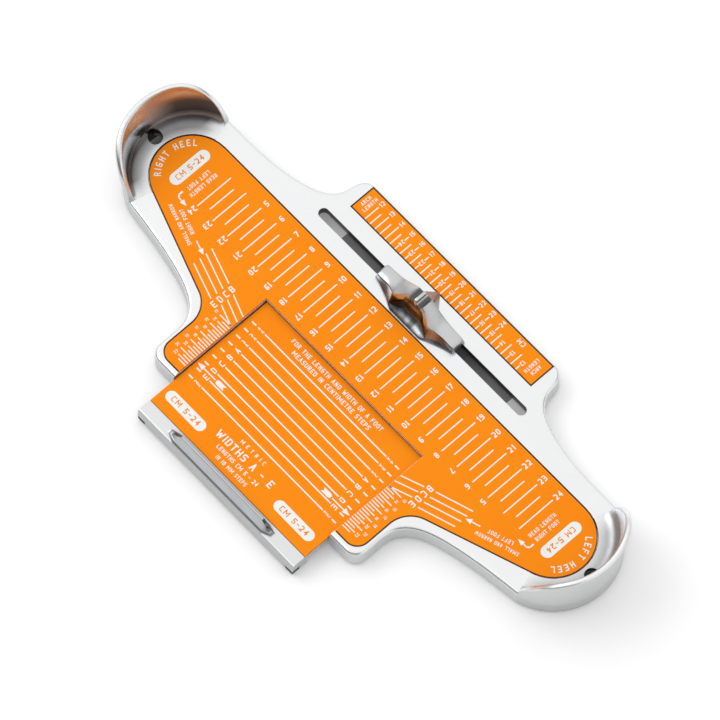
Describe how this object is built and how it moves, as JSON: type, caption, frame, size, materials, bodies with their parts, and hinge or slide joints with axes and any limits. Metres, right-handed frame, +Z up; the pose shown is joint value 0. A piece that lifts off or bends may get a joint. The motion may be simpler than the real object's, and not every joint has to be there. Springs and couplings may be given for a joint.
{
  "type": "foot measuring device",
  "caption": "Junior foot measuring device: cast base with a heel cup at each end, toe, arch and width scales, a width slide with a fence and an arch pointer in a slot.",
  "frame": {"origin": "middle of the overall box on the floor, with both sliding pieces at rest", "axes": "+X from the right-heel cup to the left-heel cup, +Y from the width slide's fence to the arch scale, +Z up"},
  "size_m": [0.304, 0.1504, 0.038],
  "materials": {
    "cast_aluminium": "satin polished casting",
    "polished_aluminium": "bright polished casting",
    "orange_plate": "satin orange print on thin aluminium",
    "screw_steel": "plain zinc plated",
    "spring_steel": "tempered spring steel",
    "nylon": "natural nylon",
    "black_rubber": "matt rubber"
  },
  "bodies": {
    "base": {"base_casting": "cast_aluminium", "right_heel_cup": "polished_aluminium", "left_heel_cup": "polished_aluminium", "right_cup_screw_a": "screw_steel", "right_cup_screw_b": "screw_steel", "left_cup_screw_a": "screw_steel", "left_cup_screw_b": "screw_steel", "toe_scale_plate": "orange_plate", "arch_scale_plate": "orange_plate", "guide_strip_left": "nylon", "guide_strip_right": "nylon", "drag_spring_left": "spring_steel", "drag_spring_right": "spring_steel", "guide_screw_left_a": "screw_steel", "guide_screw_left_b": "screw_steel", "guide_screw_left_c": "screw_steel", "guide_screw_right_a": "screw_steel", "guide_screw_right_b": "screw_steel", "guide_screw_right_c": "screw_steel", "foot_1": "black_rubber", "foot_2": "black_rubber", "foot_3": "black_rubber", "foot_4": "black_rubber", "foot_5": "black_rubber", "foot_6": "black_rubber"},
    "slide": {"width_slide": "cast_aluminium", "width_scale_plate": "orange_plate", "rail_pad_left": "black_rubber", "rail_pad_right": "black_rubber"},
    "pointer": {"arch_pointer": "polished_aluminium", "pointer_shoe": "nylon", "pointer_spring": "spring_steel", "pointer_screw_left": "screw_steel", "pointer_screw_right": "screw_steel"}
  },
  "joints": [
    {"name": "width_slide_travel", "type": "slide", "parent": "base", "child": "slide", "axis": [0, 1, 0], "range_m": [-0.0064, 0.0224]},
    {"name": "arch_pointer_travel", "type": "slide", "parent": "base", "child": "pointer", "axis": [1, 0, 0], "range_m": [-0.049, 0.051]}
  ]
}
